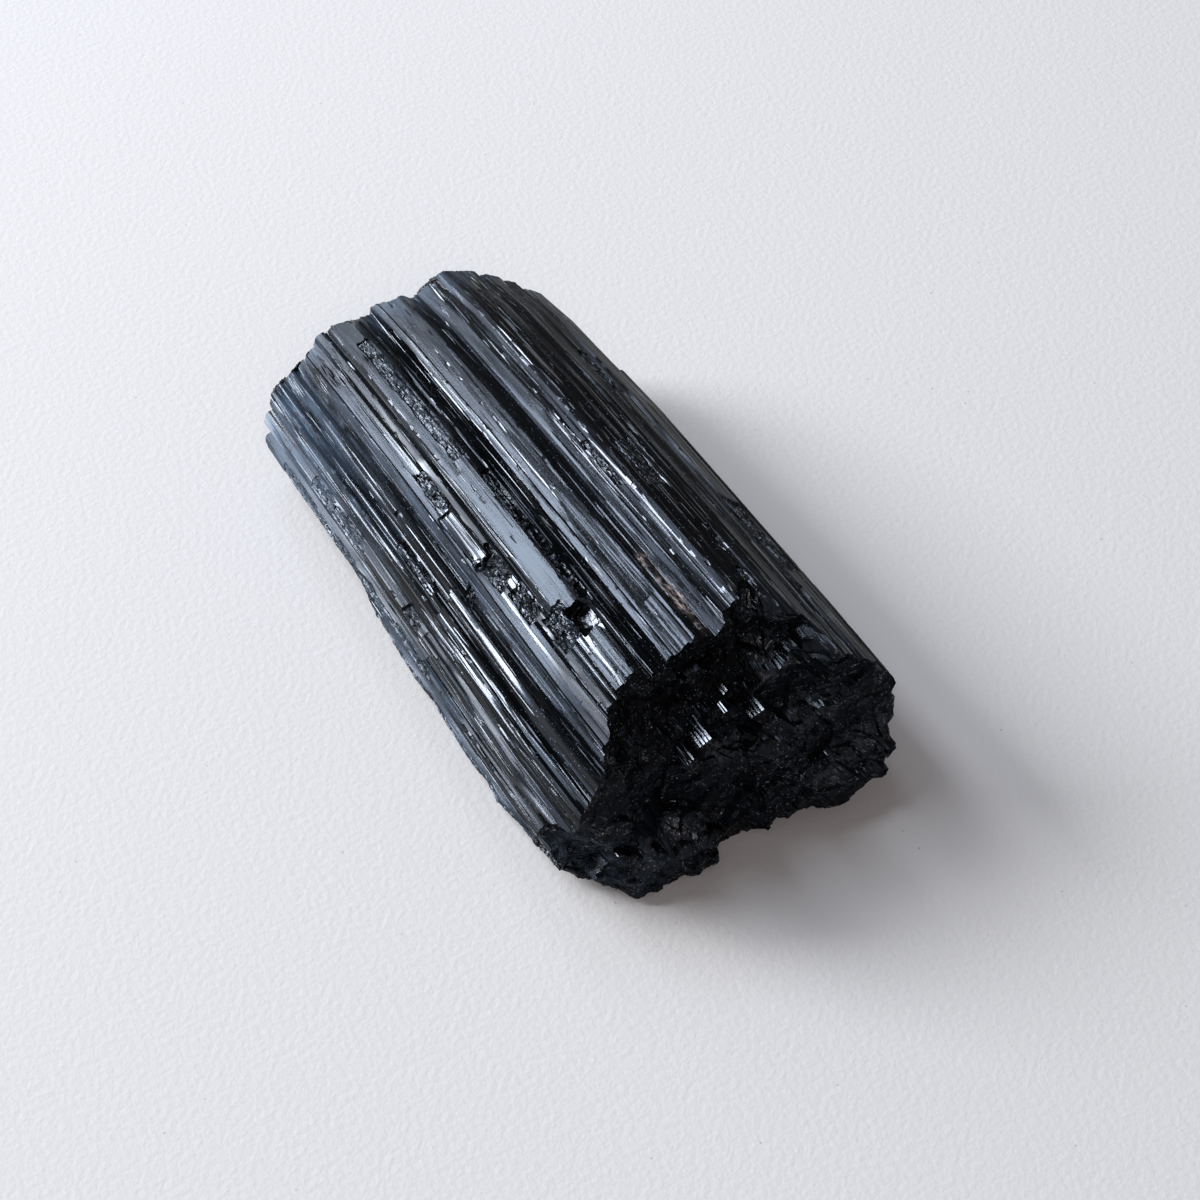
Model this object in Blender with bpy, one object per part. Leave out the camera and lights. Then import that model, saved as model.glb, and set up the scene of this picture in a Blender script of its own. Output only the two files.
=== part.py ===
"""Black tourmaline crystal: a bundle of columns grown side by side into one blunt prism.

It lies on a long side. X runs along the columns, with the broken end at +X, and Z is up.
The sides are rings of corners, joined along X. Each end is a sheet of triangles inside the last
ring, and a break surface sets how far each of its points, and each column, reaches along X.
"""

import bmesh
import bpy
import numpy as np
from mathutils import Vector, geometry, noise

MM = 0.001
NAME = "tourmaline_crystal"

LENGTH = 51.6 * MM
WIDTH = 27.6 * MM
HEIGHT = 16.2 * MM

# Rings along the columns, and how far apart the points of the two end faces lie, in mm.
RINGS_ALONG = 46
FAR_GRAIN = 1.4
BROKEN_GRAIN = 0.95

# The bundle's middle line, in mm across and up.
AXIS = (0.5, 7.2)

# Corners of the bundle half way along, in mm across and up, clockwise from the left foot.
# Between two corners lies one flat face of a column, or one side of a groove.
LEFT_WALL = [
    (-9.3, 0.6), (-10.2, 0.7), (-11.2, 1.15), (-11.9, 2.2), (-12.35, 3.1), (-12.2, 3.5), (-12.9, 4.6),
    (-12.8, 5.4), (-12.3, 5.8), (-12.7, 6.9), (-12.5, 7.9), (-12.0, 8.2), (-12.1, 9.3), (-11.7, 10.5),
    (-11.4, 10.4), (-11.2, 11.2), (-10.8, 11.0),
]
LEFT_SHOULDER = [
    (-10.75, 11.4), (-10.3, 12.6), (-9.65, 11.9), (-9.35, 12.3), (-8.8, 13.3), (-8.6, 13.1),
    (-7.6, 13.6), (-7.45, 14.1), (-7.05, 14.5), (-6.65, 14.4), (-6.4, 14.8), (-5.7, 15.1),
    (-4.9, 15.4),
]
CREST = [
    (-4.3, 14.7), (-3.8, 14.3), (-3.65, 14.6), (-2.75, 14.1), (-2.6, 15.12), (-2.15, 15.3),
    (-1.95, 15.1), (-1.25, 15.35), (-0.3, 15.6), (0.4, 15.0), (1.3, 14.6), (1.6, 14.68),
    (2.35, 14.9), (2.6, 15.4), (3.1, 15.4), (3.35, 15.9), (3.75, 15.95),
]
RIGHT_WALL = [
    (5.0, 15.4), (6.4, 14.7), (6.5, 14.2), (7.4, 13.9), (8.4, 13.1), (8.5, 12.7), (9.6, 12.1),
    (10.0, 11.1), (10.3, 11.2), (11.7, 9.9), (11.6, 9.2), (12.6, 8.5), (13.2, 7.2), (12.7, 6.3),
    (13.1, 5.8), (12.6, 4.5), (11.9, 4.3), (11.7, 2.9), (10.7, 2.8), (10.0, 1.5), (9.1, 1.6),
    (8.6, 0.7),
]
FOOT = [
    (7.7, 0.0), (4.6, 0.0), (3.9, 0.8), (3.0, 0.5), (2.4, 0.9), (1.7, 0.0), (-1.4, 0.0),
    (-2.0, 0.9), (-2.7, 0.6), (-3.3, 1.0), (-4.0, 0.0), (-7.0, 0.0), (-7.5, 0.5), (-8.3, 0.4),
]
CORNERS = LEFT_WALL + LEFT_SHOULDER + CREST + RIGHT_WALL + FOOT

# How the bundle thins towards the far end and flares towards the broken one:
# (mm along, left width factor, right width factor, height factor).
STATIONS = [
    (-25.0, 0.98, 0.97, 0.87), (-19.0, 1.0, 1.01, 0.93), (-8.0, 1.02, 1.03, 0.98),
    (4.0, 1.05, 1.03, 1.0), (15.0, 1.08, 1.03, 1.02), (25.0, 1.07, 1.02, 1.03),
]

# The left foot slopes out to a low ledge, left by outer columns: how far out it reaches, as
# (mm along, mm). The slope runs from its edge up to its top, and in to its root.
LEDGE = [
    (-8.0, 0.0), (-1.0, 0.5), (3.0, 0.8), (6.0, 1.15), (9.0, 1.4), (12.0, 1.5), (15.0, 1.15),
    (20.0, 0.9),
]
LEDGE_TOP = 2.2
LEDGE_SLOPE = 1.05
LEDGE_ROOT = -9.2
LEDGE_RUN = 2.0

# Where slivers of the outer columns have snapped off, in mm: along from, to, across from, to,
# depth towards the middle line.
SNAPPED = [
    (-21.0, -6.0, -6.8, -4.5, 0.45),
    (8.0, 12.8, -6.8, -4.5, 1.1),
    (-3.2, 2.8, -8.7, -7.5, 0.4),
    (2.8, 8.8, -8.7, -7.0, 0.7),
    (10.5, 15.0, -8.2, -6.3, 0.5),
    (-1.2, 2.6, 4.6, 7.0, 0.45),
    (-27.0, -15.5, 10.5, 14.0, 0.7),
    (-4.5, 0.8, -11.8, -10.8, 0.4),
    (6.0, 26.0, -13.3, -12.2, 0.25),
]

# The broken end in mm: how far along X the break lies at some places, as across, up, along.
BROKEN_MARKS = [
    (-6.1, 15.0, 17.4), (-2.6, 15.3, 17.4), (0.4, 15.8, 17.1), (3.4, 15.7, 15.9), (5.4, 15.2, 14.2),
    (6.9, 13.5, 17.9), (8.9, 12.0, 21.8), (11.9, 9.0, 22.0), (13.3, 5.5, 22.3), (12.9, 3.0, 24.3),
    (11.4, 1.5, 26.0), (7.4, 1.0, 25.6), (3.4, 0.5, 24.4), (-0.9, 0.3, 23.0), (-3.5, 0.3, 24.9),
    (-5.5, 0.3, 24.0), (-7.9, 0.4, 24.3), (-10.1, 1.0, 22.0), (-11.2, 1.2, 19.6), (-12.1, 2.5, 20.2),
    (-13.6, 4.0, 18.2), (-13.2, 6.5, 18.9), (-12.0, 9.5, 22.7), (-10.4, 12.0, 22.2),
    (-8.8, 13.3, 20.4), (-7.4, 14.2, 18.5), (-2.1, 10.4, 21.4), (-2.1, 12.0, 18.4),
    (2.4, 10.5, 20.4), (2.4, 13.0, 16.9), (4.9, 12.0, 15.9), (5.4, 9.0, 19.4), (9.4, 6.0, 22.6),
    (4.4, 5.0, 23.2), (-0.6, 5.0, 22.3), (-5.1, 5.0, 20.0), (-8.6, 6.0, 22.7), (-8.6, 10.0, 21.9),
    (-5.1, 9.0, 20.7),
]
# The same for the far end, where the columns stop almost level with each other.
FAR_MARKS = [
    (-8.3, 12.2, -24.2), (-6.7, 13.3, -24.8), (-4.9, 12.6, -23.5), (-2.6, 13.6, -25.1),
    (-0.3, 13.0, -24.0), (1.2, 12.9, -23.8), (3.4, 13.9, -25.2), (6.4, 13.0, -24.3),
    (10.0, 9.0, -23.4), (12.5, 5.0, -22.8), (-11.0, 8.0, -24.8), (-12.3, 4.5, -24.2),
    (-9.0, 1.0, -23.2), (-4.0, 1.0, -24.1), (1.0, 1.0, -24.5), (7.0, 1.0, -23.5),
    (-7.0, 6.5, -23.7), (-1.5, 8.0, -24.5), (4.0, 6.5, -23.3), (9.0, 5.0, -24.0),
]

# Columns that stand clear of their neighbours on the broken face, in mm: across, up,
# half width, half height, how far they stand out.
STUBS = [(-1.6, 9.6, 1.3, 1.0, 1.6), (2.6, 9.4, 1.1, 0.9, 1.3), (-5.6, 11.6, 0.9, 0.8, 1.0)]

# Lumps on the two breaks: size and height, in mm.
BROKEN_LUMP = (2.4, 0.9)
FAR_LUMP = (2.0, 0.6)
# How far the far end's column tips round over at their edge, in mm.
FAR_EDGE_ROUNDING = 0.7
# The right-hand foot of the broken end rises off the table from here on, by this much per mm.
LIFT_START = 13.0
LIFT_SLOPE = 0.12
LIFT_HEIGHT = 6.0
LIFT_SIDE = 5.0
# Nothing has snapped off the foot, below this height in mm.
SNAP_LOWEST = 3.0
# How softly one place on a break passes into the next, in mm.
MARK_BLUR = 0.35
# The points of an end sheet: rows as a share of their spacing, how far each is shaken off its
# place and how far they keep from the rim, as shares of the spacing, and the closest two may be.
ROW_SHARE = 0.87
SHAKE = 0.22
RIM_MARGIN = 0.45
CLOSEST = 1e-4
SEED = 7


def clear_scene():
    for obj in list(bpy.data.objects):
        bpy.data.objects.remove(obj, do_unlink=True)


def schorl():
    """Black tourmaline: glassy, almost no colour of its own."""
    material = bpy.data.materials.new("black_tourmaline")
    material.use_nodes = True
    shader = material.node_tree.nodes["Principled BSDF"]
    shader.inputs["Base Color"].default_value = (0.011, 0.012, 0.014, 1.0)
    shader.inputs["Roughness"].default_value = 0.28
    shader.inputs["Metallic"].default_value = 0.0
    shader.inputs["IOR"].default_value = 1.64
    return material


def with_ledge(along, corners):
    """The corners, with those of the ledge moved out as far as it reaches at each place along X."""
    places, reaches = np.array(LEDGE).T
    below = np.clip((LEDGE_TOP - corners[:, 1]) / LEDGE_SLOPE, 0.0, 1.0)
    beyond = np.clip((LEDGE_ROOT - corners[:, 0]) / LEDGE_RUN, 0.0, 1.0)
    out = np.interp(along, places, reaches) * below * beyond
    return np.stack([corners[:, 0] - out, corners[:, 1]], axis=1)


def bundle_outline(along):
    """Each corner's place across and up, where that corner is at its own place along X."""
    corners = with_ledge(along, np.array(CORNERS))
    places, lefts, rights, heights = np.array(STATIONS).T
    left = np.interp(along, places, lefts)
    right = np.interp(along, places, rights)
    across = corners[:, 0] * np.where(corners[:, 0] < 0.0, left, right)
    up = corners[:, 1] * np.interp(along, places, heights)
    low = np.clip(1.0 - up / LIFT_HEIGHT, 0.0, 1.0) * np.clip(across / LIFT_SIDE, 0.0, 1.0)
    up = up + LIFT_SLOPE * np.maximum(along - LIFT_START, 0.0) * low
    outline = np.stack([across, up], axis=1)
    return outline + (np.array(AXIS) - outline) * snapped_share(along, outline)[:, None]


def snapped_share(along, outline):
    """How far each corner is pulled in towards the axis where a column has snapped off."""
    depth = np.zeros(len(outline))
    for start, end, left, right, amount in SNAPPED:
        inside = (along > start) & (along < end) & (outline[:, 1] > SNAP_LOWEST)
        inside &= (outline[:, 0] > left) & (outline[:, 0] < right)
        depth[inside] = np.maximum(depth[inside], amount)
    return depth / np.linalg.norm(outline - np.array(AXIS), axis=1)


def reach(marks, outline):
    """Where the break surface lies along X: each point takes after the marks nearest to it."""
    marks = np.array(marks)
    gap = np.linalg.norm(outline[:, None] - marks[None, :, :2], axis=2)
    weight = (gap**2 + MARK_BLUR**2) ** -2
    return (weight * marks[:, 2]).sum(axis=1) / weight.sum(axis=1)


def lumps(points, size, height):
    """Rounded lumps of the given size and height, as an offset for each (x, y, z) point."""
    return np.array([noise.noise(Vector(point) / size) * height for point in points])


def stubs(outline):
    """How far the columns that stand clear of the broken face stick out."""
    out = np.zeros(len(outline))
    for across, up, half_width, half_height, amount in STUBS:
        inside = np.abs(outline[:, 0] - across) < half_width
        inside &= np.abs(outline[:, 1] - up) < half_height
        out[inside] = amount
    return out


def broken_reach(outline):
    along = reach(BROKEN_MARKS, outline)
    points = np.column_stack([along, outline])
    return along + lumps(points, *BROKEN_LUMP) + stubs(outline)


def far_reach(outline):
    along = reach(FAR_MARKS, outline)
    return along + lumps(np.column_stack([along, outline]), *FAR_LUMP)


def column_rings(far_ends, broken_ends):
    """Rings along the columns: each corner runs straight from its far end to its broken end."""
    rings = []
    for step in range(RINGS_ALONG + 1):
        along = far_ends + (broken_ends - far_ends) * step / RINGS_ALONG
        rings.append(np.column_stack([along, bundle_outline(along)]))
    return rings


def scattered(rim, spacing):
    """Points about one spacing apart inside the rim, shaken off a honeycomb grid."""
    random = np.random.default_rng(SEED)
    low = rim.min(axis=0)
    high = rim.max(axis=0)
    rows = np.arange(low[1], high[1], spacing * ROW_SHARE)
    points = []
    for number, up in enumerate(rows):
        start = low[0] + spacing / 2.0 * (number % 2)
        points += [(across, up) for across in np.arange(start, high[0], spacing)]
    points = np.array(points)
    points += random.uniform(-SHAKE, SHAKE, points.shape) * spacing
    return points[well_inside(points, rim, spacing * RIM_MARGIN)]


def well_inside(points, rim, margin):
    """Which points lie inside the rim and further than the margin from its sides."""
    start = rim[None, :, :]
    side = np.roll(rim, -1, axis=0)[None] - start
    offset = points[:, None, :] - start
    along = np.clip((offset * side).sum(axis=2) / (side**2).sum(axis=2), 0.0, 1.0)
    gap = np.linalg.norm(offset - along[..., None] * side, axis=2).min(axis=1)
    crossed = (offset[..., 1] < 0) != (offset[..., 1] < side[..., 1])
    meet = offset[..., 1] / np.where(side[..., 1] == 0, 1.0, side[..., 1]) * side[..., 0]
    odd = (crossed & (offset[..., 0] < meet)).sum(axis=1) % 2 == 1
    return odd & (gap > margin)


def break_face(rim, spacing, surface, rounding):
    """The break inside a rim: points with their reach along X, and triangles that join them.

    The first points are the rim's own, in its order.
    """
    outline = np.concatenate([rim[:, 1:], scattered(rim[:, 1:], spacing)])
    count = len(rim)
    edges = [(here, (here + 1) % count) for here in range(count)]
    corners = [Vector(point) for point in outline]
    found = geometry.delaunay_2d_cdt(corners, edges, [], 1, CLOSEST)
    outline = np.array([tuple(point) for point in found[0]])
    along = np.concatenate([rim[:, 0], surface(outline[count:]) + rounding])
    return np.column_stack([along, outline]), found[2]


def fitted(points):
    """The points in metres, sized to the crystal and set with the foot's middle at the origin."""
    low = points.min(axis=0)
    high = points.max(axis=0)
    middle = (low + high) / 2.0
    middle[2] = low[2]
    return (points - middle) * np.array([LENGTH, WIDTH, HEIGHT]) / (high - low)


def add_columns(mesh_data, rings):
    """Joins each ring to the next with four-sided faces."""
    for ring, following in zip(rings[:-1], rings[1:]):
        for here in range(len(ring)):
            there = (here + 1) % len(ring)
            mesh_data.faces.new((ring[here], ring[there], following[there], following[here]))


def add_sheet(mesh_data, corners, faces):
    """Closes an end with the triangles of its break face."""
    for face in faces:
        mesh_data.faces.new(corners[list(face)])


def crystal():
    """The whole bundle as one closed mesh."""
    outline = np.array(CORNERS)
    count = len(outline)
    rings = column_rings(far_reach(outline), broken_reach(outline))
    far, far_faces = break_face(rings[0], FAR_GRAIN, far_reach, -FAR_EDGE_ROUNDING)
    broken, broken_faces = break_face(rings[-1], BROKEN_GRAIN, broken_reach, 0.0)
    sizes = [count] * len(rings) + [len(far) - count, len(broken) - count]
    points = fitted(np.concatenate([*rings, far[count:], broken[count:]]))

    mesh_data = bmesh.new()
    corners = np.array([mesh_data.verts.new(point) for point in points])
    *loops, far_inner, broken_inner = np.split(corners, np.cumsum(sizes)[:-1])
    add_columns(mesh_data, loops)
    add_sheet(mesh_data, np.concatenate([loops[0], far_inner]), far_faces)
    add_sheet(mesh_data, np.concatenate([loops[-1], broken_inner]), broken_faces)
    bmesh.ops.recalc_face_normals(mesh_data, faces=mesh_data.faces)

    mesh = bpy.data.meshes.new(NAME)
    mesh_data.to_mesh(mesh)
    mesh_data.free()
    obj = bpy.data.objects.new(NAME, mesh)
    bpy.context.scene.collection.objects.link(obj)
    obj.data.materials.append(schorl())
    return obj


def main():
    clear_scene()
    crystal()


main()
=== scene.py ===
"""The finish of a black tourmaline crystal: the striated sides of its columns, the slivers that have
snapped off them, its two granular breaks, the pale crust in one groove, and the dust on all of it."""

import itertools

import bpy
import numpy as np
from mathutils import Matrix, Vector


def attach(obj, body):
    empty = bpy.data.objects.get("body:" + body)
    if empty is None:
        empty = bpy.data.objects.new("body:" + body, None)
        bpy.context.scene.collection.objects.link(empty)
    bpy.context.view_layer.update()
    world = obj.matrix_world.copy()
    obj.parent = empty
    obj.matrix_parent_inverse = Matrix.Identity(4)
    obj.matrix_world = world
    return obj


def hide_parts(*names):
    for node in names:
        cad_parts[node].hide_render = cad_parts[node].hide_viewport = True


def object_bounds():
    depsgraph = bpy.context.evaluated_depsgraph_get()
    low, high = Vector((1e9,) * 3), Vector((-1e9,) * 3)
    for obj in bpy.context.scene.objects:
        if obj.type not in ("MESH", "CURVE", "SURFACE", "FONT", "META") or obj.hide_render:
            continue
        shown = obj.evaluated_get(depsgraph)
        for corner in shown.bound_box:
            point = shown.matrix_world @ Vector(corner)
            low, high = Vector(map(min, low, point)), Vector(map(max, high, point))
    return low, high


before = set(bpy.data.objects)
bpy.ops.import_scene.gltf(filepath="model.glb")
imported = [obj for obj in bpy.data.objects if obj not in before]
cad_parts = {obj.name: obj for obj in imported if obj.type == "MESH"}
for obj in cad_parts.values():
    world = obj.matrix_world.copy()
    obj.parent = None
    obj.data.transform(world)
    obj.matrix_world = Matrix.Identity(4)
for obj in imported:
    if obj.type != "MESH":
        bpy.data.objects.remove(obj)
cad_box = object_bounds()

MM = 0.001
NODE = "tourmaline_crystal"

# ---- The bundle, as the solid has it: all in mm ----

# The bundle's middle line, across and up.
AXIS = np.array([0.5, 7.2])

# Corners of the bundle half way along, across and up, clockwise from the left foot.
LEFT_WALL = [
    (-9.3, 0.6), (-10.2, 0.7), (-11.2, 1.15), (-11.9, 2.2), (-12.35, 3.1), (-12.2, 3.5), (-12.9, 4.6),
    (-12.8, 5.4), (-12.3, 5.8), (-12.7, 6.9), (-12.5, 7.9), (-12.0, 8.2), (-12.1, 9.3), (-11.7, 10.5),
    (-11.4, 10.4), (-11.2, 11.2), (-10.8, 11.0),
]
LEFT_SHOULDER = [
    (-10.75, 11.4), (-10.3, 12.6), (-9.65, 11.9), (-9.35, 12.3), (-8.8, 13.3), (-8.6, 13.1),
    (-7.6, 13.6), (-7.45, 14.1), (-7.05, 14.5), (-6.65, 14.4), (-6.4, 14.8), (-5.7, 15.1),
    (-4.9, 15.4),
]
CREST = [
    (-4.3, 14.7), (-3.8, 14.3), (-3.65, 14.6), (-2.75, 14.1), (-2.6, 15.12), (-2.15, 15.3),
    (-1.95, 15.1), (-1.25, 15.35), (-0.3, 15.6), (0.4, 15.0), (1.3, 14.6), (1.6, 14.68),
    (2.35, 14.9), (2.6, 15.4), (3.1, 15.4), (3.35, 15.9), (3.75, 15.95),
]
RIGHT_WALL = [
    (5.0, 15.4), (6.4, 14.7), (6.5, 14.2), (7.4, 13.9), (8.4, 13.1), (8.5, 12.7), (9.6, 12.1),
    (10.0, 11.1), (10.3, 11.2), (11.7, 9.9), (11.6, 9.2), (12.6, 8.5), (13.2, 7.2), (12.7, 6.3),
    (13.1, 5.8), (12.6, 4.5), (11.9, 4.3), (11.7, 2.9), (10.7, 2.8), (10.0, 1.5), (9.1, 1.6),
    (8.6, 0.7),
]
FOOT = [
    (7.7, 0.0), (4.6, 0.0), (3.9, 0.8), (3.0, 0.5), (2.4, 0.9), (1.7, 0.0), (-1.4, 0.0),
    (-2.0, 0.9), (-2.7, 0.6), (-3.3, 1.0), (-4.0, 0.0), (-7.0, 0.0), (-7.5, 0.5), (-8.3, 0.4),
]
CORNERS = np.array(LEFT_WALL + LEFT_SHOULDER + CREST + RIGHT_WALL + FOOT)

# How the bundle thins towards the far end and flares towards the broken one:
# along, left width factor, right width factor, height factor.
STATIONS = np.array([
    (-25.0, 0.98, 0.97, 0.87), (-19.0, 1.0, 1.01, 0.93), (-8.0, 1.02, 1.03, 0.98),
    (4.0, 1.05, 1.03, 1.0), (15.0, 1.08, 1.03, 1.02), (25.0, 1.07, 1.02, 1.03),
])
# The left foot slopes out to a low ledge, left by outer columns: how far out it reaches, as
# (mm along, mm). The slope runs from its edge up to its top, and in to its root.
LEDGE = np.array([
    (-14.0, 0.0), (-8.0, 1.1), (-4.0, 1.3), (0.0, 1.45), (3.0, 1.25), (6.0, 1.4), (8.0, 1.45),
    (10.7, 1.25), (12.8, 1.4), (15.0, 1.05), (20.0, 0.8),
])
LEDGE_TOP = 2.2
LEDGE_SLOPE = 1.05
LEDGE_ROOT = -9.2
LEDGE_RUN = 2.0

# Towards the broken end the right foot lifts off the ground.
LIFT_START = 13.0
LIFT_SLOPE = 0.12
LIFT_HEIGHT = 6.0
LIFT_SIDE = 5.0

# How far along X the two breaks lie at some places: across, up, along.
BROKEN_MARKS = np.array([
    (-6.1, 15.0, 17.4), (-2.6, 15.3, 17.4), (0.4, 15.8, 17.1), (3.4, 15.7, 15.9), (5.4, 15.2, 14.2),
    (6.9, 13.5, 17.9), (8.9, 12.0, 21.8), (11.9, 9.0, 22.0), (13.3, 5.5, 22.3), (12.9, 3.0, 24.3),
    (11.4, 1.5, 26.0), (7.4, 1.0, 25.6), (3.4, 0.5, 24.4), (-0.9, 0.3, 23.0), (-3.5, 0.3, 24.9),
    (-5.5, 0.3, 24.0), (-7.9, 0.4, 24.3), (-10.1, 1.0, 22.0), (-11.2, 1.2, 19.6),
    (-12.1, 2.5, 20.2),
    (-13.6, 4.0, 18.2), (-13.2, 6.5, 18.9), (-12.0, 9.5, 22.7), (-10.4, 12.0, 22.2),
    (-8.8, 13.3, 20.4), (-7.4, 14.2, 18.5), (-2.1, 10.4, 21.4), (-2.1, 12.0, 18.4),
    (2.4, 10.5, 20.4), (2.4, 13.0, 16.9), (4.9, 12.0, 15.9), (5.4, 9.0, 19.4), (9.4, 6.0, 22.6),
    (4.4, 5.0, 23.2), (-0.6, 5.0, 22.3), (-5.1, 5.0, 20.0), (-8.6, 6.0, 22.7), (-8.6, 10.0, 21.9),
    (-5.1, 9.0, 20.7),
])
FAR_MARKS = np.array([
    (-8.3, 12.2, -24.2), (-6.7, 13.3, -24.8), (-4.9, 12.6, -23.5), (-2.6, 13.6, -25.1),
    (-0.3, 13.0, -24.0), (1.2, 12.9, -23.8), (3.4, 13.9, -25.2), (6.4, 13.0, -24.3),
    (10.0, 9.0, -23.4), (12.5, 5.0, -22.8), (-11.0, 8.0, -24.8), (-12.3, 4.5, -24.2),
    (-9.0, 1.0, -23.2), (-4.0, 1.0, -24.1), (1.0, 1.0, -24.5), (7.0, 1.0, -23.5),
    (-7.0, 6.5, -23.7), (-1.5, 8.0, -24.5), (4.0, 6.5, -23.3), (9.0, 5.0, -24.0),
])
# How far a mark's own value spreads before its neighbours take over, and how far the rim of the far
# end is rounded back along X.
MARK_BLUR = 0.35
FAR_EDGE_ROUNDING = 0.7

# How each break is cut into columns: the share that this thickness has in it, the thickness, how
# much the columns differ in length, how much their tips slope, and the seed. Then its grains: their
# size, how much they differ in height, how much they slope, and the seed. All but shares in mm.
BROKEN_COLUMNS = [(0.32, 1.9, 0.30, 0.9, 21), (0.18, 0.8, 0.16, 0.5, 31)]
BROKEN_GRAINS = [(0.42, 0.008, 0.040, 41), (0.2, 0.005, 0.016, 43)]
FAR_COLUMNS = [(0.4, 1.5, 0.5, 0.9, 61)]
FAR_GRAINS = [(0.5, 0.05, 0.12, 71), (0.22, 0.01, 0.05, 73)]

# Columns that stand out of the broken end: the middle of their upper side, along, across and up,
# then half their length and width. All lean to the left and rise a little towards their tips. Their
# upper sides are cut into terraces this far apart, with grooves between them of this width and depth.
STUBS = np.array([
    (21.4, -2.7, 11.9, 1.2, 0.55), (21.9, -4.1, 10.8, 0.9, 0.50), (21.1, 1.8, 11.5, 1.0, 0.60),
    (19.9, 0.2, 13.1, 0.5, 0.26), (19.4, 2.5, 12.4, 0.3, 0.26), (21.2, -0.6, 12.9, 0.5, 0.18),
    (21.5, 0.8, 9.8, 0.5, 0.20), (20.5, -11.4, 5.6, 0.6, 0.26), (22.6, -9.8, 4.7, 0.5, 0.20),
    (22.9, -9.1, 4.5, 0.5, 0.16), (22.9, -6.8, 3.3, 0.4, 0.20), (23.8, -2.9, 3.8, 0.4, 0.22),
])
STUB_LEAN = np.radians(37.0)
STUB_RISE = 0.09
STUB_DEPTH = 1.6
TERRACE = 0.28
GROOVE = (0.11, 0.14)

# The hollow under the crest of the broken end: across, up, half its width and height. How much
# painted shade it gets, as a lower specular level, and how dusty the end's low left corner is.
HOLLOW = (-2.5, 12.2, 7.5, 4.0)
HOLLOW_PAINTED_SHADE = 0.85
BROKEN_DUST = 0.22

# ---- The skin ----

# Places around the outline and the fewest between two corners, rows along X, and rings on an end.
AROUND = 1200
FEWEST_ON_A_SIDE = 5
ALONG = 560
END_RINGS = 130

# The triangles that are left, and the widest turn between two of them, in degrees, that shades as
# one smooth face.
MOST_TRIANGLES = 196_000
SHARPEST_SMOOTH_EDGE = 14.0

# Growth lines: the height of the coarse ones and of both fine ones, how far apart they are, how far
# they keep one height along X, all in mm, and the seed.
COARSE_LINES = (0.055, 0.95, 60.0, 101)
FINE_LINES = [(0.042, 0.38, 35.0, 102), (0.022, 0.18, 14.0, 103)]

# How fast growth lines step from one height to another along X: the shortest and the longest, in
# mm. How far they stray sideways, in mm, and over how many mm along and across.
STEP_LENGTHS = (0.4, 7.0)
STRAY = 0.14
STRAY_RUN = 9.0
STRAY_PITCH = 1.5

# Where the growth lines are stronger or weaker than usual, in mm: along from, to, way round from,
# to, and the shares of the coarse and of the fine lines' usual height.
STRENGTHS = [
    (-5.2, 9.4, 21.9, 24.0, 0.12, 0.15),
    (-22.0, 16.0, 17.4, 19.3, 0.5, 0.5),
    (-3.6, 1.9, 18.9, 20.4, 0.1, 2.2),
    (-26.0, 6.0, 14.6, 16.0, 0.5, 0.6),
    (2.0, 26.0, 3.0, 16.5, 0.8, 2.6),
    (-26.0, -9.0, 2.0, 50.0, 0.7, 0.6),
    (12.0, 26.0, 22.0, 28.5, 1.2, 1.8),
    (-20.0, 12.0, 28.2, 30.0, 0.4, 0.6),
    (-22.0, 16.0, 32.4, 33.2, 0.5, 0.7),
    (8.0, 16.0, 35.1, 38.0, 0.3, 0.3),
    (-14.0, 22.0, 0.6, 3.2, 0.6, 1.0),
    (12.4, 18.0, 20.9, 23.0, 0.2, 1.8),
]
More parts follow.
